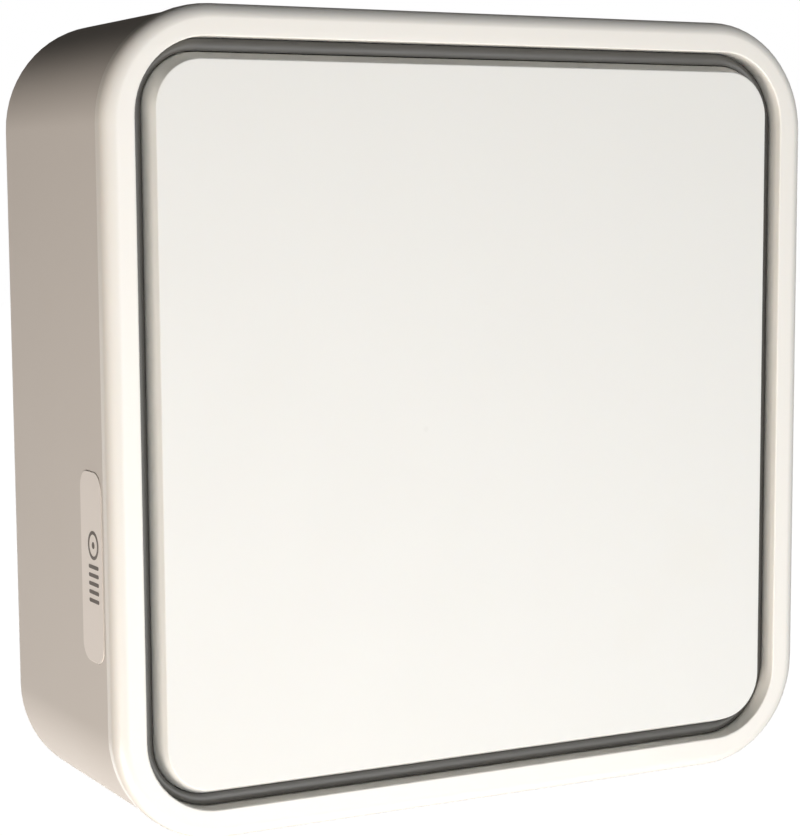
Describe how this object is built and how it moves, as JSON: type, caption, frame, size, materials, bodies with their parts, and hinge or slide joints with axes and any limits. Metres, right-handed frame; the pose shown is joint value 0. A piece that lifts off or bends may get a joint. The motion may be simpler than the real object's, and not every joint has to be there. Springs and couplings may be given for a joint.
{
  "type": "ceiling access point",
  "caption": "Deep square wireless access point with a flat front panel in a recessed ring, a plain rounded shell and a keyhole bracket behind it.",
  "frame": {"origin": "centre of the bracket's rear face, where it lies on the ceiling or wall", "axes": "+Y out of the back towards the ceiling or wall, -Y out of the front panel, +Z the way the unit slides up off its studs, +X to the right seen from the front"},
  "size_m": [0.2, 0.0775, 0.2],
  "materials": {
    "bezel_plastic": "satin moulded cream-white plastic",
    "panel_plastic": "fine matt near-white plastic",
    "smoke_diffuser": "smoke-grey diffusing plastic",
    "shell_plastic": "matt warm white moulded plastic",
    "plaque_plastic": "satin pale plastic",
    "zinc_steel": "zinc-plated steel",
    "spring_steel": "rolled spring steel",
    "tinned_steel": "tinned sheet steel",
    "aluminium": "bare aluminium",
    "brass": "gold-coloured plated brass",
    "board_green": "green solder mask",
    "board_white": "white solder mask",
    "chip_black": "black moulding compound",
    "thermal_pad": "soft grey-blue silicone",
    "carrier_plastic": "natural grey-white plastic",
    "led_lens": "clear-to-milky resin",
    "lead_black": "black jacket",
    "button_grey": "grey plastic"
  },
  "bodies": {
    "bracket": {"mounting_bracket": "zinc_steel", "bracket_stud_1": "zinc_steel", "bracket_stud_2": "zinc_steel", "bracket_stud_3": "zinc_steel", "bracket_stud_4": "zinc_steel", "catch_spring": "spring_steel", "catch_rivet": "zinc_steel"},
    "unit": {"front_bezel": "bezel_plastic", "centre_panel": "panel_plastic", "light_ring": "smoke_diffuser", "housing_shell": "shell_plastic", "side_label": "plaque_plastic", "back_plate": "shell_plastic", "housing_screw_1": "zinc_steel", "housing_screw_2": "zinc_steel", "housing_screw_3": "zinc_steel", "housing_screw_4": "zinc_steel", "board_screw_1": "zinc_steel", "board_screw_2": "zinc_steel", "board_screw_3": "zinc_steel", "board_screw_4": "zinc_steel", "main_board": "board_green", "processor": "chip_black", "memory_chip": "chip_black", "power_controller": "chip_black", "ethernet_magnetics": "chip_black", "power_inductor": "chip_black", "radio_chip_1": "chip_black", "radio_chip_2": "chip_black", "thermal_pad": "thermal_pad", "heat_sink": "aluminium", "capacitor_1": "aluminium", "capacitor_2": "aluminium", "ethernet_jack_1": "tinned_steel", "ethernet_jack_2": "tinned_steel", "shield_can_1": "tinned_steel", "shield_can_2": "tinned_steel", "reset_switch": "tinned_steel", "reflector_plate": "aluminium", "antenna_carrier": "carrier_plastic", "light_board": "board_white", "led_1": "led_lens", "led_2": "led_lens", "led_3": "led_lens", "led_4": "led_lens", "antenna_1": "brass", "antenna_2": "brass", "antenna_3": "brass", "antenna_4": "brass", "antenna_lead_1": "lead_black", "antenna_lead_2": "lead_black", "antenna_lead_3": "lead_black", "antenna_lead_4": "lead_black", "lead_connector_1": "brass", "lead_connector_2": "brass", "lead_connector_3": "brass", "lead_connector_4": "brass"},
    "reset_button": {"reset_button": "button_grey"}
  },
  "joints": [
    {"name": "unit_lift", "type": "slide", "parent": "bracket", "child": "unit", "axis": [0, 0, 1], "range_m": [0, 0.012], "deforming": ["catch_spring"]},
    {"name": "reset_press", "type": "slide", "parent": "unit", "child": "reset_button", "axis": [0, 0, 1], "range_m": [0, 0.001], "stiffness_N_per_m": 800, "springref_m": -0.0008}
  ]
}
